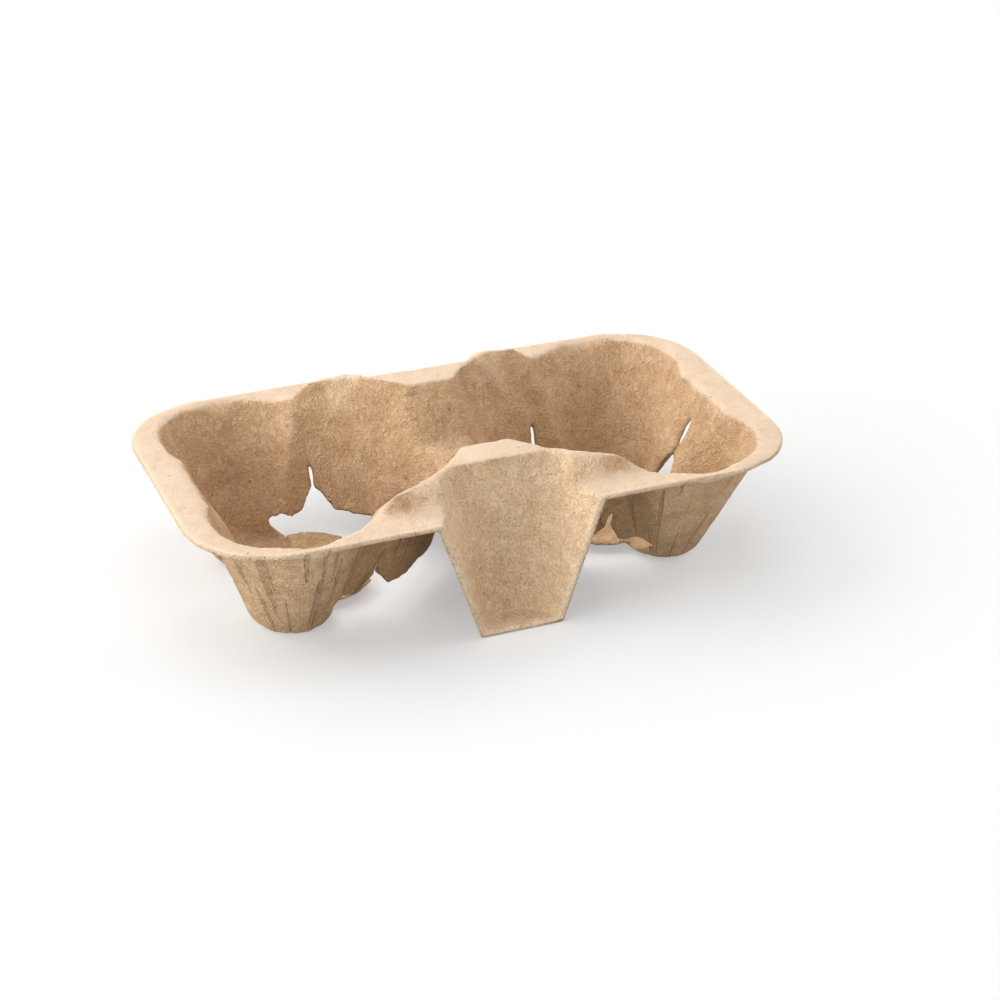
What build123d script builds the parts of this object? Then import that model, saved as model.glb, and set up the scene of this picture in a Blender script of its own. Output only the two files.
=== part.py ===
"""Two-cup carrier tray, moulded in one piece from a thin sheet of fibre pulp.

The sheet is a single-valued surface: every wall leans, so the tray lifts straight out of its
mould. It is built as the difference of two solid blocks. The upper block lies under the top
face of the sheet, the lower block lies under the bottom face, and each hollow or hump is made
by one function that takes its distance k from the top face, so the wall stays even.

Frame: the tray stands on z = 0, its long side runs along x, the origin is under its middle.
"""
import os
from math import atan, degrees, hypot

from build123d import *

# Driving sizes, mm
cup_radius = 43.5           # mouth of a cup well
cup_pitch = 96.0            # between the axes of the two cups
end_land = 14.5             # rim from the mouth of a well to the end of the tray
side_land = 16.5            # and to its side
rim_height = 45.0
hump_rise = 9.0
wall = 2.0
corner_radius = 30.0

cup_lean = 0.4              # wall of a cup well, outward for one unit of height
cup_floor = 5.0             # the web under a cup hangs clear of the table
foot_bevel = 2.0            # round the bottom of a foot
rib_bevel = 3.0             # upright ridges between the hollows of a well
throat_height = 8.5         # lower edge of the walls between the cups
saddle_height = 35.0        # dip between the two cups

pocket_mouth = 60.0         # side pocket along the rim
pocket_foot = 29.4          # side pocket on the table
pocket_depth = 10.0         # from the side of the tray, on the table
pocket_round = 9.0
crease_round = 2.0          # where walls meet the floor of a pocket
pocket_lean = 0.22          # back wall, inward for one unit of height
pocket_taper = 0.52         # side walls, narrowing toward the tray's middle

hump_run = 20.0             # slope from the level top to the rim, along the tray
hump_fall = 12.0            # slope from it to the rim, from side to side
hump_inset = 19.0           # level top, from the side of the tray
slit_width = 1.3
tear_round = 0.7

# Shares of the cup's radius
foot_radius = 0.322*cup_radius
lobe_radius = 0.62*cup_radius       # mouth of a corner lobe
throat_radius = cup_radius/3        # end of a well toward the middle of the tray, at the web
throat_mouth = 0.828*cup_radius     # and at the top of the hump
saddle_low = 0.32*cup_radius        # half its width, at the bottom
saddle_high = 0.6*cup_radius        # and at the top of the hump

length = cup_pitch + 2*(cup_radius + end_land)
width = 2*(cup_radius + side_land)
hump_height = rim_height + hump_rise
hump_span = 2*cup_pitch/3           # level top, along the tray
cup_axis = cup_pitch/2
foot_axis = (cup_axis + 0.46*cup_radius, 0.46*cup_radius)
lobe_axis = (cup_axis + 0.483*cup_radius, 0.667*cup_radius)
throat_round = 0.5*(saddle_height - cup_floor)
well_foot = cup_radius - cup_lean*(rim_height - cup_floor)      # radius of a well at the web
throat_axis = cup_axis - 0.46*cup_radius
throat_top_axis = cup_axis - 0.276*cup_radius
top = hump_height + 4*wall          # hollows are carried on past the highest face
reach = 6*wall                      # and past the outline of the tray


def both(shape, plane):
    """A shape together with its mirror image."""
    return [shape, mirror(shape, about=plane)]


def four(shape):
    return [twin for half in both(shape, Plane.YZ) for twin in both(half, Plane.XZ)]


def leaning_hollow(low, high, floor, k):
    """Round hollow about the line between two centres (x, y, z), each with its radius.

    It is cut level at the floor and is wider all round by k."""
    (base, r0), (mouth, r1) = low, high
    axis = Vector(*mouth) - Vector(*base)
    slope = (r1 - r0)/axis.length
    ahead, behind = top, 4.0*wall
    swell = k*hypot(1.0, slope)
    start = Vector(*base) - axis.normalized()*behind
    cone = Plane(start, z_dir=axis)*Cone(
        r0 - slope*behind + swell, r0 + slope*ahead + swell, behind + ahead,
        align=(Align.CENTER, Align.CENTER, Align.MIN))
    return split(cone, Plane.XY.offset(floor - k), keep=Keep.TOP)


def lobe(k):
    """Corner hollow: a round foot whose wall spreads and drifts outward to the rim."""
    base, mouth = (*foot_axis, wall), (*lobe_axis, rim_height)
    hollow = leaning_hollow((base, foot_radius - wall), (mouth, lobe_radius), wall, k)
    if k == 0:
        return hollow
    inner = foot_radius - wall - foot_bevel     # the foot is bevelled round its outside only
    return hollow & leaning_hollow((base, inner), (mouth, inner + rim_height), wall, k)


def cup(k):
    """Cup hollow: round at the mouth, drawn toward the middle of the tray at the web."""
    well = leaning_hollow(((cup_axis, 0.0, cup_floor), well_foot),
                        ((cup_axis, 0.0, rim_height), cup_radius), cup_floor, k)
    throat = leaning_hollow(((throat_axis, 0.0, cup_floor), throat_radius),
                          ((throat_top_axis, 0.0, hump_height), throat_mouth), cup_floor, k)
    return well, throat


def pocket(k):
    """Side pocket: a flared scoop open to the outside, its back wall rising to the hump."""
    out = width/2 + reach
    spread = (pocket_mouth - pocket_foot)/2/rim_height
    scoop = Pos(0, out, wall - k)*Box(
        2*length, 2*width, 2*top, align=(Align.CENTER, Align.MAX, Align.MIN))
    sides = [(Vector(side*(pocket_foot/2 - wall), width/2, 0), Vector(-side, pocket_taper, spread))
             for side in (-1, 1)]
    back = (Vector(0, width/2 - pocket_depth, 0), Vector(0, 1, pocket_lean))
    for foot, inward in (*sides, back):
        scoop = split(scoop, Plane(foot - inward.normalized()*k, z_dir=inward))
    corners = scoop.edges().filter_by(
        lambda e: e.bounding_box().max.Y < out - wall and e.bounding_box().size.Z > rim_height)
    scoop = fillet(corners, pocket_round + k)
    if k:
        return scoop
    floor = scoop.faces().sort_by(Axis.Z)[0].edges()
    return fillet(floor.filter_by(lambda e: e.center().Y < out - wall), crease_round)


def saddle(k):
    """Dip in the wall between the two cups, so that their hollows join above it."""
    profile = make_face(Polyline(
        (-saddle_high, hump_height), (-saddle_low, saddle_height), (saddle_low, saddle_height),
        (saddle_high, hump_height), (saddle_high, top), (-saddle_high, top), close=True))
    if k:
        profile = offset(profile, amount=k, kind=Kind.INTERSECTION)
    return extrude(Plane.YZ*profile, throat_radius, both=True)


def swell(half, run, low, high):
    """Closed outline, level along the top, with an easy slope down to the rim at each end."""
    drop = high - low
    radius, turn = (run*run + drop*drop)/(4*drop), degrees(2*atan(drop/run))
    crest = JernArc((half, high), (1, 0), radius, -turn)
    trough = JernArc(crest @ 1, crest % 1, radius, turn)
    foot = half + run
    rest = Polyline(trough @ 1, (foot, wall), (0, wall), (0, high), (half, high))
    side = make_face(Curve() + [crest, trough, rest])
    return side + mirror(side, about=Plane.YZ)


def hump(k):
    """Raised middle of the tray, running down to the rim on all sides."""
    low, high = rim_height - k, hump_height - k
    along = extrude(Plane.XZ*swell(hump_span/2, hump_run, low, high), width/2, both=True)
    across = extrude(Plane.YZ*swell(width/2 - hump_inset, hump_fall, low, high), length/2, both=True)
    return along & across


def block(k):
    """Solid under the sheet face that lies k below the top face."""
    spread = 0.0 if k == 0 else reach
    plan = RectangleRounded(length + 2*spread, width + 2*spread, corner_radius + spread)
    solid = extrude(Pos(0, 0, -k)*plan, rim_height) + hump(k) - saddle(k)
    for hollow in four(lobe(k)) + [h for part in cup(k) for h in both(part, Plane.YZ)]:
        solid -= hollow
    return solid


def softened(solid):
    """Ease the upright ridges inside a well; the face under the sheet keeps plain edges."""
    def upright(tall, test):
        return [e for e in solid.edges() if test(abs(e.center().X), e.bounding_box().max.Z)
                and e.bounding_box().size.Z > tall and e.bounding_box().min.Z > wall]

    ribs = upright(0.7*(rim_height - cup_floor), lambda x, z: x > cup_axis and z < rim_height + wall)
    solid = chamfer(ribs, rib_bevel)
    throats = upright(0.8*(saddle_height - cup_floor), lambda x, z: x < throat_axis)
    return fillet(throats, throat_round)


def torn_face(points, middle, level):
    """Face bounded by a torn edge, from points in shares of the cup's radius."""
    return make_face(Polyline(*[(middle + u*cup_radius, level + v*cup_radius) for u, v in points],
                              close=True))


def side_tear():
    """Torn hole at the foot of a side rib: an arch in the wall, a gap in the web, a slit above."""
    middle = cup_axis - 0.127*cup_radius
    arch = torn_face([(-.32, -.16), (-.30, .09), (-.14, .10), (-.065, .22), (0, .29), (.057, .22),
                      (.115, .11), (.21, .08), (.29, .115), (.39, .035), (.30, -.046),
                      (.22, -.07), (.17, -.18)], middle, cup_floor)
    near, far = 0.87*well_foot, cup_radius + wall
    arch = Pos(0, near)*extrude(Plane.XZ*fillet(arch.vertices(), tear_round), near - far)
    web = torn_face([(.425, .78), (.30, .644), (.195, .575), (.01, .483), (-.10, .38), (-.276, .32),
                     (-.276, .83)], middle, 0.0)
    slit = Pos(middle, 0.725*cup_radius)*SlotOverall(0.22*cup_radius, slit_width, rotation=90)
    return arch + extrude(web, cup_floor + tear_round) + extrude(slit, 0.9*rim_height)


def end_tear():
    """The like hole at the foot of an end rib."""
    x = cup_axis + 0.6*cup_radius
    side = [(.41, -.057), (.37, .046), (.21, .09), (.115, .18), (.046, .37)]
    arch = torn_face([(-v, w) for v, w in side] + side[::-1], 0.0, cup_floor)
    arch = Pos(x, 0)*extrude(Plane.YZ*fillet(arch.vertices(), tear_round), 0.46*cup_radius)
    slit = Pos(x + 0.2*cup_radius, 0)*SlotOverall(0.276*cup_radius, slit_width)
    return arch + extrude(slit, 0.78*rim_height)


def throat_gap():
    """The throat of a cup is open below: its wall stops above the table, without a web."""
    start, stop = 0.09*cup_radius, cup_axis - 0.23*cup_radius
    gap = Box(stop - start, 1.38*cup_radius, throat_height, align=(Align.MIN, Align.CENTER, Align.MIN))
    return Pos(start, 0, 0)*gap


def sheet():
    upper, lower = softened(block(0.0)), block(wall)
    for scoop in both(pocket(0.0), Plane.XZ):
        upper -= scoop
    for scoop in both(pocket(wall), Plane.XZ):
        lower -= scoop
    return upper - lower


tray = sheet()
for cut in four(side_tear()) + both(end_tear(), Plane.YZ) + both(throat_gap(), Plane.YZ):
    tray -= cut

os.makedirs("parts", exist_ok=True)
export_step(tray, "parts/cup_carrier.step")
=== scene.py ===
import math

import bmesh
import bpy
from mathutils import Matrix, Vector, noise


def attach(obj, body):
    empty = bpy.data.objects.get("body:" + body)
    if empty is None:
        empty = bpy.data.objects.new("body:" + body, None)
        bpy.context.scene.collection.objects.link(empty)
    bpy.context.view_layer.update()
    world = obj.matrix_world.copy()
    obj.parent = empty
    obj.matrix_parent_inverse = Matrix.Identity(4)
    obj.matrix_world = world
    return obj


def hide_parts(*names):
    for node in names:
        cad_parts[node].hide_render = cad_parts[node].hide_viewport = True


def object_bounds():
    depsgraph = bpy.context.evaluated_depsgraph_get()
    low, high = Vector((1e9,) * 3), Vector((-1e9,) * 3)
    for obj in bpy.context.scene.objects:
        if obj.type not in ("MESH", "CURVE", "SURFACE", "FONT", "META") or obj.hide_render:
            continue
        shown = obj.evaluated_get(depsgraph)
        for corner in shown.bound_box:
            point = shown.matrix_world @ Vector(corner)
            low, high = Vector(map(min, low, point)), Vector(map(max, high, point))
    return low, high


# A two-cup carrier tray, moulded in one piece from fibre pulp. Units are metres.
MM = 0.001

# The mould, as the solid has it
CUP_AXIS = 48 * MM
CUP_RADIUS = 43.5 * MM       # mouth of a cup well
LOBE_AXIS = (69 * MM, 29 * MM)
LOBE_RADIUS = 27 * MM        # mouth of a corner lobe
FOOT_AXIS = (68 * MM, 20 * MM)
CORNER = 30 * MM             # corner of the rim, in plan
HUMP_RISE = 9 * MM           # of the humps over the rim

# The sheet's mesh
WELD = 0.002 * MM
VOXEL = 0.72 * MM
SHEET_TRIANGLES = 192000
EASE_SHARE = 0.5             # a pass takes a point this far to the middle of its neighbours

# Mouths drawn out of round, on the upper part of the walls
MOUTH_RISE = (0.4, 0.95)     # shares of the rim's height between which the drawing comes in
END_MOUTH = 93.5 * MM        # straight across the end of the tray, this far from its middle
END_START = 70 * MM
END_HALF = 24 * MM           # half the straight piece's width
SIDE_MOUTH = 2.3 * MM        # a lobe's mouth is drawn in by this from the side of the tray
SIDE_START = 35 * MM
SIDE_COMES = (42 * MM, 58 * MM)     # along the tray
SIDE_GOES = (80 * MM, 94 * MM)
SIDE_EDGE = (56.5 * MM, 59.5 * MM)  # across it, gone at the very edge

# What drying does to the sheet
WARP = 0.45 * MM             # slow wander
WARP_LENGTH = 42 * MM
WRINKLE = 0.26 * MM          # swirling wrinkles on the faces that held wet pulp
WRINKLE_LENGTH = 5.0 * MM
SWIRL = 1.3                  # how far the wrinkles are stirred, in their own length
SWIRL_GRAIN = 0.45           # how finely they are stirred
FACING_DOWN = -0.05          # outside faces have a normal that is lower than this
OUTSIDE_WRINKLE = 0.4        # share of the wrinkles that they have
DRAG = 0.35 * MM             # grooves dragged down the outside faces
DRAG_WIDTH = 3.2 * MM
DRAG_LENGTH = 24 * MM
EDGE_SHARE = 0.15            # share of all this at the outline, which stays even
EDGE_BAND = (0.5 * MM, 4.0 * MM)    # the rest comes in between these distances from it

# Pulp colours, sRGB from 0 to 255, by their place on the mottle
WELLS = [(0.32, (204, 166, 127)), (0.52, (219, 183, 144)), (0.70, (232, 199, 162))]
# painted light: the level top faces take a paler, greyer colour, and the paleness stands in for
# light from above
LIT_TOPS = [(0.32, (220, 193, 166)), (0.70, (234, 208, 182))]
UNDERSIDES = [(0.32, (200, 165, 126)), (0.70, (228, 196, 158))]
# painted light: the faces of the side pockets, which lie in the open, are paler
LIT_POCKETS = [(0.32, (236, 202, 163)), (0.70, (250, 222, 187))]

# Tints over them: share and colour
# painted shade: darker brown under the middle of the tray, between the feet
SHADE_UNDER_MIDDLE = (0.55, (150, 108, 66))
DARK_GRAIN = (0.21, (158, 120, 86))
PALE_GRAIN = (0.30, (240, 219, 195))
# painted shade: darker in the valleys of the worm relief
VALLEY_SHADE = (0.22, (150, 112, 78))
SPECKS = (0.50, (132, 92, 66))
GROOVES = (0.32, (128, 96, 62))
# painted highlight: paler along the rounded outer edge of the rim
EDGE_HIGHLIGHT = (0.45, (242, 220, 194))

# Patterns: scale, detail, roughness and distortion
MOTTLE = (120.0, 5.0, 0.66, 0.0)
GRAIN = (1250.0, 2.0, 0.6, 0.0)
WORMS = (330.0, 2.5, 0.5, 1.8)
FELT = (1500.0, 3.0, 0.65, 0.0)
GROOVE_NOISE = (1.0, 1.5, 0.5, 0.0)
SPECK_SCALE = 210.0

# Where each look comes in: from this value on, and whole at the other
TURNED_UP = (0.55, 0.95)            # by the face's normal
TURNED_DOWN = (0.05, -0.15)
NEAR_TOP = (37 * MM, 42 * MM)       # by height
MIDDLE_ALONG = (60 * MM, 46 * MM)   # by distance from the middle of the tray
POCKET_ALONG = (36 * MM, 31 * MM)
POCKET_ACROSS = (37 * MM, 40 * MM)
EDGE_IN = (1.9 * MM, 0.9 * MM)      # by distance in from the outline
GRAIN_DARK = (0.54, 0.38)           # by the pattern
GRAIN_PALE = (0.56, 0.70)
VALLEY = (0.05, 0.0)
SPECK_RARE = (0.70, 0.78)
SPECK_SPOT = (0.15, 0.06)
GROOVE = (0.60, 0.66)
CALM_GRAIN = 0.6                    # the level top faces lose this share of the grain
CALM_WORMS = 0.7                    # and this share of the worms

# Grooves down the feet, in cells of their pattern
GROOVE_TURN = 13.0           # for a radian round the foot
GROOVE_SLANT = 30.0          # for a metre of height, sideways
GROOVE_DOWN = 22.0           # and downward
GROOVE_SHIFT = (9.0, 13.0)   # for a metre along and across, so that no two feet match

FELT_DEPTH = 0.45 * MM
WORM_DEPTH = 2.0 * MM
GROOVE_DEPTH = 0.6 * MM
PULP_ROUGHNESS = 0.93
PULP_SHINE = 0.18

# The room
WHITE = (1.0, 1.0, 1.0, 1.0)
FLOOR_RADIUS = 6.0
FLOOR_SIDES = 64
FLOOR_GAP = 0.05 * MM        # under the feet
FLOOR_BOUNCE = (0.62, 0.61, 0.60, 1.0)      # its colour to the light
FLOOR_SEEN = (0.50, 0.50, 0.50, 1.0)        # and to the camera
FLOOR_LIFT = 0.38            # what the camera sees of the floor beyond its lamp light
FLOOR_FADE = (0.30, 0.85)    # its shading gives way to white between these distances
ROOM_TINT = (1.0, 0.985, 0.965, 1.0)
ROOM_FILL = 0.20
LAMP_SIZE = 1.4
LAMP_AIM = Vector((0.0, 0.0, 0.02))
LAMPS = [                    # name, place, watts
    ("window", (-1.1, 0.9, 1.2), 18.0),
    ("back", (0.0, 1.4, 1.1), 11.0),
    ("overhead", (0.0, 0.0, 1.8), 8.0),
    ("left", (-1.5, 0.0, 0.9), 6.0),
    ("low_left", (-1.6, -0.4, 0.35), 17.0),
    ("right", (1.5, 0.0, 0.9), 12.5),
    ("low_front", (-0.2, -1.7, 0.35), 9.0),
]

CAMERA_PLACE = Vector((-0.2672, -0.7045, 0.4188))
CAMERA_AIM = Vector((0.01183, -0.00985, 0.022))
CAMERA_LENS = 88.1
CAMERA_SENSOR = 36.0
CAMERA_CLIP = (0.01, 50.0)

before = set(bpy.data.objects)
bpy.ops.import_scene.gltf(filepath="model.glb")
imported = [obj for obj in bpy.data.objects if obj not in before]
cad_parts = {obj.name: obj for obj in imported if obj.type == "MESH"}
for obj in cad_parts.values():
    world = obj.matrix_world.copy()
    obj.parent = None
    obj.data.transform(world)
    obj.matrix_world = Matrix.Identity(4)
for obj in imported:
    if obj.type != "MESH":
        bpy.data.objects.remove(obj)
cad_low, cad_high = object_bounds()
RIM = cad_high.z - HUMP_RISE


def linked(name, data):
    thing = bpy.data.objects.new(name, data)
    bpy.context.scene.collection.objects.link(thing)
    return thing


def step(value, low, high):
    """Smooth step of a value between two levels."""
    share = min(max((value - low) / (high - low), 0.0), 1.0)
    return share * share * (3.0 - 2.0 * share)


def from_outline(place):
    """Distance in from the tray's outline, seen from above."""
    x = abs(place.x) - (cad_high.x - CORNER)
    y = abs(place.y) - (cad_high.y - CORNER)
    return CORNER - math.hypot(max(x, 0.0), max(y, 0.0)) - min(max(x, y), 0.0)


# ---------------------------------------------------------------- the sheet

class Zone:
    """Part of the sheet: by height, by distance from the tray's middle along it and across it,
    and by distance in from its outline."""

    def __init__(self, above=-math.inf, along=(0.0, math.inf), across=(0.0, math.inf),
                 inset=-math.inf):
        self.above, self.along, self.across, self.inset = above, along, across, inset

    def holds(self, place):
        return (place.z > self.above
                and self.along[0] <= abs(place.x) < self.along[1]
                and self.across[0] <= abs(place.y) < self.across[1]
                and from_outline(place) > self.inset)


EASED = [                    # the mould's sharp lines: passes that ease them, and where
    # the whole sheet
    (4, [Zone()]),
    # the turn from the rim down into a hollow
    (6, [Zone(0.8 * RIM, along=(40 * MM, math.inf), inset=5 * MM),
         Zone(0.8 * RIM, across=(0.0, 24 * MM), inset=5 * MM)]),
    # the mouth that runs straight across the end
    (30, [Zone(0.55 * RIM, along=(84 * MM, math.inf), across=(0.0, 27 * MM), inset=5 * MM)]),
    # the turn from a hump down into a side pocket
    (7, [Zone(0.7 * RIM, along=(0.0, 26 * MM), across=(34 * MM, math.inf), inset=4 * MM)]),
    # the shoulder of a hump, between a pocket and a cup
    (9, [Zone(0.85 * RIM, along=(16 * MM, 56 * MM), across=(28 * MM, 56 * MM))]),
    # the dip between the cups
    (30, [Zone(22 * MM, along=(0.0, 26 * MM), across=(0.0, 25 * MM))]),
]


def baked(piece):
    """Replace the piece's mesh by what its modifiers make of it."""
    bpy.context.view_layer.update()
    final = piece.evaluated_get(bpy.context.evaluated_depsgraph_get())
    made = bpy.data.meshes.new_from_object(final)
    piece.modifiers.clear()
    old, piece.data = piece.data, made
    bpy.data.meshes.remove(old)


def merged_copy(node):
    """Mesh of a node of the frame, with its faces joined along their edges."""
    form = bmesh.new()
    form.from_mesh(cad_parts[node].data)
    bmesh.ops.remove_doubles(form, verts=form.verts, dist=WELD)
    mesh = bpy.data.meshes.new("pulp_tray")
    form.to_mesh(mesh)
    form.free()
    return mesh


def mouth_reach(y):
    """How far from the tray's middle a well's round mouths reach, at a distance y across it."""
    cup = CUP_AXIS + math.sqrt(max(CUP_RADIUS ** 2 - y * y, 0.0))
    lobe = LOBE_AXIS[0] + math.sqrt(max(LOBE_RADIUS ** 2 - (y - LOBE_AXIS[1]) ** 2, 0.0))
    return max(cup, lobe)


def draw_mouths(form):
    """Draw the mouths straight across the ends of the tray and in from its sides."""
    for v in form.verts:
        x, y = abs(v.co.x), abs(v.co.y)
        upper = step(v.co.z, MOUTH_RISE[0] * RIM, MOUTH_RISE[1] * RIM)
        if upper == 0.0:
            continue
        if y < END_HALF and x > END_START:
            short = max(END_MOUTH - mouth_reach(y), 0.0)
            out = short * upper * (1.0 - step(x, END_MOUTH, cad_high.x))
            v.co.x += math.copysign(out, v.co.x)
        if y > SIDE_START:
            along = step(x, *SIDE_COMES) * (1.0 - step(x, *SIDE_GOES))
            back = SIDE_MOUTH * upper * along * (1.0 - step(y, *SIDE_EDGE))
            v.co.y -= math.copysign(back, v.co.y)


def ease_mould_lines(form):
    for passes, zones in EASED:
        chosen = [v for v in form.verts if any(zone.holds(v.co) for zone in zones)]
        for _ in range(passes):
            bmesh.ops.smooth_vert(form, verts=chosen, factor=EASE_SHARE,
                                  use_axis_x=True, use_axis_y=True, use_axis_z=True)


def dried_offset(place, normal):
    """How far the real sheet wanders from the clean mould at a place, along its normal."""
    slow = noise.noise(place / WARP_LENGTH) * WARP
    curl = place / WRINKLE_LENGTH
    curl = curl + noise.noise_vector(curl * SWIRL_GRAIN) * SWIRL
    wrinkle = (1.0 - 2.0 * abs(noise.noise(curl))) * WRINKLE
    if normal.z < FACING_DOWN:
        streak = Vector((place.x / DRAG_WIDTH, place.y / DRAG_WIDTH, place.z / DRAG_LENGTH))
        return slow + OUTSIDE_WRINKLE * wrinkle + noise.noise(streak) * DRAG
    return slow + wrinkle


def dry_sheet(form):
    """Move the sheet as it dried, and less near its outline."""
    form.normal_update()
    moves = [v.normal * dried_offset(v.co, v.normal) for v in form.verts]
    for v, move in zip(form.verts, moves):
        v.co += move * (EDGE_SHARE + (1.0 - EDGE_SHARE) * step(from_outline(v.co), *EDGE_BAND))


def keep_inside(form, low, high):
    for v in form.verts:
        v.co = Vector(min(max(v.co[i], low[i]), high[i]) for i in range(3))


def pulp_tray():
    tray = linked("pulp_tray", merged_copy("cup_carrier"))
    remesh = tray.modifiers.new("sheet", "REMESH")
    remesh.mode = "VOXEL"
    remesh.voxel_size = VOXEL
    baked(tray)

    form = bmesh.new()
    form.from_mesh(tray.data)
    draw_mouths(form)
    ease_mould_lines(form)
    dry_sheet(form)
    keep_inside(form, cad_low, cad_high)
    form.to_mesh(tray.data)
    form.free()

    tray.data.calc_loop_triangles()
    thin = tray.modifiers.new("thin", "DECIMATE")
    thin.ratio = min(1.0, SHEET_TRIANGLES / len(tray.data.loop_triangles))
    baked(tray)
    for face in tray.data.polygons:
        face.use_smooth = True
    return tray


# ---------------------------------------------------------------- finishes

def linear(r, g, b):
    """Linear RGBA of an sRGB colour given from 0 to 255."""
    return (*(((c / 255 + 0.055) / 1.055) ** 2.4 if c > 10 else c / 255 / 12.92
              for c in (r, g, b)), 1.0)


class Nodes:
    """Node tree of a material or the world, with a short way to add and join nodes."""

    def __init__(self, owner, output):
        owner.use_nodes = True
        self.tree = owner.node_tree
        self.tree.nodes.clear()
        self.output = self.add(output)

    def add(self, kind, inputs=None, **settings):
        node = self.tree.nodes.new(kind)
        for name, value in settings.items():
            setattr(node, name, value)
        for name, value in (inputs or {}).items():
            if isinstance(value, bpy.types.NodeSocket):
                self.tree.links.new(value, node.inputs[name])
            else:
                node.inputs[name].default_value = value
        return node

    def out(self, kind, inputs=None, **settings):
        """Add a node and give its first output."""
        return self.add(kind, inputs, **settings).outputs[0]

    def end(self, shader):
        """Show a shader on the surface."""
        self.tree.links.new(shader, self.output.inputs["Surface"])

    def math(self, operation, *values):
        return self.out("ShaderNodeMath", dict(enumerate(values)), operation=operation)

    def times(self, one, other):
        return self.math("MULTIPLY", one, other)

    def one_less(self, value):
        return self.math("SUBTRACT", 1.0, value)

    def vector(self, operation, *values):
        return self.out("ShaderNodeVectorMath", dict(enumerate(values)), operation=operation)

    def length(self, vector):
        node = self.add("ShaderNodeVectorMath", {0: vector}, operation="LENGTH")
        return node.outputs["Value"]

    def parts(self, vector):
        """A vector's X, Y and Z."""
        return self.add("ShaderNodeSeparateXYZ", {0: vector}).outputs

    def grey(self, value, low, high):
        """Smooth step of a value between two levels."""
        levels = {"Value": value, "From Min": low, "From Max": high}
        node = self.add("ShaderNodeMapRange", levels, interpolation_type="SMOOTHSTEP")
        return node.outputs["Result"]

    def noise(self, place, scale, detail, roughness, distortion):
        return self.out("ShaderNodeTexNoise", {
            "Vector": place, "Scale": scale, "Detail": detail, "Roughness": roughness,
            "Distortion": distortion})

    def ramp(self, value, stops):
        """Colour ramp from (position, sRGB colour) stops."""
        node = self.add("ShaderNodeValToRGB", {"Fac": value})
        elements = node.color_ramp.elements
        while len(elements) < len(stops):
            elements.new(0.5)
        for element, (position, colour) in zip(elements, stops):
            element.position = position
            element.color = linear(*colour)
        return node.outputs["Color"]

    def mixed(self, factor, low, high):
        """Colour between two. For colours the Mix node has its factor and colours at 0, 6 and 7,
        and its result at 2."""
        node = self.add("ShaderNodeMix", {0: factor, 6: low, 7: high}, data_type="RGBA")
        return node.outputs[2]

    def tinted(self, colour, where, tint):
        """Colour with a share of another over it, where a value is one."""
        share, over = tint
        return self.mixed(self.times(where, share), colour, linear(*over))

    def bump(self, height, depth, under=None):
        inputs = {"Height": height, "Distance": depth, "Strength": 1.0}
        if under is not None:
            inputs["Normal"] = under
        return self.out("ShaderNodeBump", inputs)


def pulp_finish():
    """Kraft pulp: mottled tan with grain, worm lines and rare specks, paler on the level faces and
    in the pockets as painted light, with a painted highlight along the outer edge, painted shade
    in the worm valleys and under the middle of the tray, and grooved down the feet."""
    material = bpy.data.materials.new("kraft_pulp")
    f = Nodes(material, "ShaderNodeOutputMaterial")
    coords = f.add("ShaderNodeTexCoord").outputs
    place = coords["Object"]
    facing = f.parts(coords["Normal"])["Z"]
    level = f.times(f.grey(facing, *TURNED_UP), f.grey(f.parts(place)["Z"], *NEAR_TOP))
    outside = f.grey(facing, *TURNED_DOWN)

    mottle = f.noise(place, *MOTTLE)
    wells, tops, pockets = (f.ramp(mottle, stops) for stops in (WELLS, LIT_TOPS, LIT_POCKETS))
    # painted shade on the underside at the middle of the tray
    undersides = f.tinted(f.ramp(mottle, UNDERSIDES), in_shaded_middle(f, place), SHADE_UNDER_MIDDLE)
    # painted light: paler colour in the pockets and on the level tops
    inside = f.mixed(level, f.mixed(in_lit_pocket(f, place), wells, pockets), tops)
    colour = f.mixed(outside, inside, undersides)

    grain = f.noise(place, *GRAIN)
    lively = f.one_less(f.times(level, CALM_GRAIN))
    colour = f.tinted(colour, f.times(f.grey(grain, *GRAIN_DARK), lively), DARK_GRAIN)
    colour = f.tinted(colour, f.times(f.grey(grain, *GRAIN_PALE), lively), PALE_GRAIN)

    # worms are the lines along which a noise crosses its middle
    worms = f.math("ABSOLUTE", f.math("SUBTRACT", f.noise(place, *WORMS), 0.5))
    # painted shade: the worm lines are the valleys of the worm bump, and they are darkened
    colour = f.tinted(colour, f.times(f.grey(worms, *VALLEY), f.one_less(level)), VALLEY_SHADE)

    cells = f.add("ShaderNodeTexVoronoi", {"Vector": place, "Scale": SPECK_SCALE}).outputs
    rare = f.grey(f.out("ShaderNodeSeparateColor", {0: cells["Color"]}), *SPECK_RARE)
    colour = f.tinted(colour, f.times(f.grey(cells["Distance"], *SPECK_SPOT), rare), SPECKS)

    grooves = f.grey(f.noise(down_the_feet(f, place), *GROOVE_NOISE), *GROOVE)
    grooves = f.times(grooves, outside)
    colour = f.tinted(colour, grooves, GROOVES)
    # painted highlight along the outer edge
    colour = f.tinted(colour, rim_highlight(f, place), EDGE_HIGHLIGHT)

    relief = f.bump(f.noise(place, *FELT), FELT_DEPTH)
    relief = f.bump(f.times(worms, f.one_less(f.times(level, CALM_WORMS))), WORM_DEPTH, relief)
    relief = f.bump(f.times(grooves, -1.0), GROOVE_DEPTH, relief)
    f.end(f.out("ShaderNodeBsdfPrincipled", {
        "Base Color": colour, "Roughness": PULP_ROUGHNESS, "Specular IOR Level": PULP_SHINE,
        "Normal": relief}))
    return material


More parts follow.
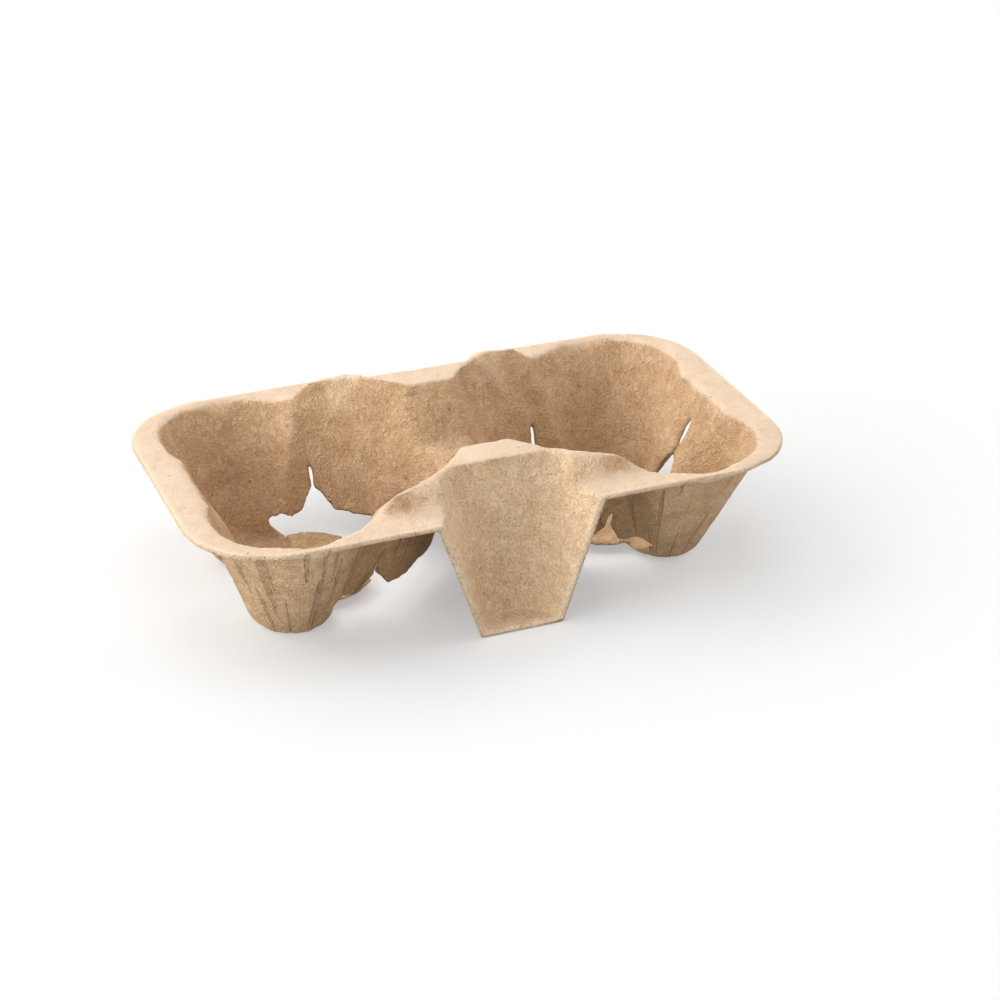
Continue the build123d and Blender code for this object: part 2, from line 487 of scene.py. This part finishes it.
def down_the_feet(f, place):
    """Coordinates whose pattern runs down the wall of a foot, a little aslant."""
    away = f.parts(f.vector("ABSOLUTE", place))
    turn = f.math("ARCTAN2", f.math("SUBTRACT", away["Y"], FOOT_AXIS[1]),
                  f.math("SUBTRACT", away["X"], FOOT_AXIS[0]))
    across = f.math("ADD", f.times(turn, GROOVE_TURN), f.times(away["Z"], GROOVE_SLANT))
    own = f.parts(place)
    shift = f.math("ADD", f.times(own["X"], GROOVE_SHIFT[0]), f.times(own["Y"], GROOVE_SHIFT[1]))
    return f.out("ShaderNodeCombineXYZ", {0: across, 1: f.times(away["Z"], GROOVE_DOWN), 2: shift})


def in_shaded_middle(f, place):
    """One at the middle of the tray, where its underside is painted darker brown as painted shade,
    fading at the feet.
    """
    return f.grey(f.parts(f.vector("ABSOLUTE", place))["X"], *MIDDLE_ALONG)


def in_lit_pocket(f, place):
    """One on the faces of the two side pockets, which lie in the open and get painted light there.
    """
    away = f.parts(f.vector("ABSOLUTE", place))
    return f.times(f.grey(away["X"], *POCKET_ALONG), f.grey(away["Y"], *POCKET_ACROSS))


def rim_highlight(f, place):
    """One along the outermost edge of the tray, seen from above, where a painted highlight lies,
    and nothing further in.
    """
    centre = (cad_high.x - CORNER, cad_high.y - CORNER, 1.0)    # so high that z drops out
    out = f.vector("SUBTRACT", f.vector("ABSOLUTE", place), centre)
    out = f.length(f.vector("MAXIMUM", out, (0.0, 0.0, 0.0)))
    return f.grey(out, CORNER - EDGE_IN[0], CORNER - EDGE_IN[1])


def seen_directly(f):
    """One for rays from the camera, also by way of a mirror or glass, and zero for light."""
    rays = f.add("ShaderNodeLightPath").outputs
    direct = f.math("MAXIMUM", rays["Is Camera Ray"], rays["Is Glossy Ray"])
    return f.math("MAXIMUM", direct, rays["Is Transmission Ray"])


def floor_finish():
    """Pale matt floor, white to the camera away from the shadow, and clear from underneath."""
    material = bpy.data.materials.new("pale_floor")
    f = Nodes(material, "ShaderNodeOutputMaterial")
    lift = f.out("ShaderNodeEmission", {"Color": WHITE, "Strength": FLOOR_LIFT})
    near = f.out("ShaderNodeAddShader", {
        0: f.out("ShaderNodeBsdfDiffuse", {"Color": FLOOR_SEEN}), 1: lift})
    white = f.out("ShaderNodeEmission", {"Color": WHITE, "Strength": 1.0})
    far = f.grey(f.length(f.add("ShaderNodeTexCoord").outputs["Object"]), *FLOOR_FADE)
    seen = f.out("ShaderNodeMixShader", {0: far, 1: near, 2: white})
    matt = f.out("ShaderNodeBsdfDiffuse", {"Color": FLOOR_BOUNCE})
    upper = f.out("ShaderNodeMixShader", {0: seen_directly(f), 1: matt, 2: seen})
    below = f.add("ShaderNodeNewGeometry").outputs["Backfacing"]
    clear = f.out("ShaderNodeBsdfTransparent")
    f.end(f.out("ShaderNodeMixShader", {0: below, 1: upper, 2: clear}))
    return material


# ---------------------------------------------------------------- the room

def floor():
    form = bmesh.new()
    bmesh.ops.create_circle(form, cap_ends=True, segments=FLOOR_SIDES, radius=FLOOR_RADIUS)
    mesh = bpy.data.meshes.new("floor")
    form.to_mesh(mesh)
    form.free()
    plane = linked("floor", mesh)
    plane.location.z = -FLOOR_GAP
    plane.data.materials.append(floor_finish())


def point(holder, place, aim):
    """Stand a lamp or the camera at a place and turn it to look at another."""
    holder.location = place
    holder.rotation_euler = (aim - Vector(place)).to_track_quat("-Z", "Y").to_euler()


def room_light():
    """Soft lamps, and a world that fills the shade and is white to the camera."""
    world = bpy.data.worlds.new("room")
    f = Nodes(world, "ShaderNodeOutputWorld")
    fill = f.out("ShaderNodeBackground", {"Color": ROOM_TINT, "Strength": ROOM_FILL})
    white = f.out("ShaderNodeBackground", {"Color": WHITE, "Strength": 1.0})
    f.end(f.out("ShaderNodeMixShader", {0: seen_directly(f), 1: fill, 2: white}))
    bpy.context.scene.world = world

    for name, place, watts in LAMPS:
        lamp = bpy.data.lights.new(name, "AREA")
        lamp.shape, lamp.size, lamp.energy = "DISK", LAMP_SIZE, watts
        point(linked(name, lamp), place, LAMP_AIM)


def photo_camera():
    eye = bpy.data.cameras.new("camera")
    eye.sensor_width, eye.lens = CAMERA_SENSOR, CAMERA_LENS
    eye.clip_start, eye.clip_end = CAMERA_CLIP
    holder = linked("camera", eye)
    point(holder, CAMERA_PLACE, CAMERA_AIM)
    bpy.context.scene.camera = holder


tray = pulp_tray()
tray.data.materials.clear()
tray.data.materials.append(pulp_finish())
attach(tray, "root")
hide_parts("cup_carrier")

floor()
room_light()
photo_camera()
bpy.context.scene.view_settings.view_transform = "Standard"
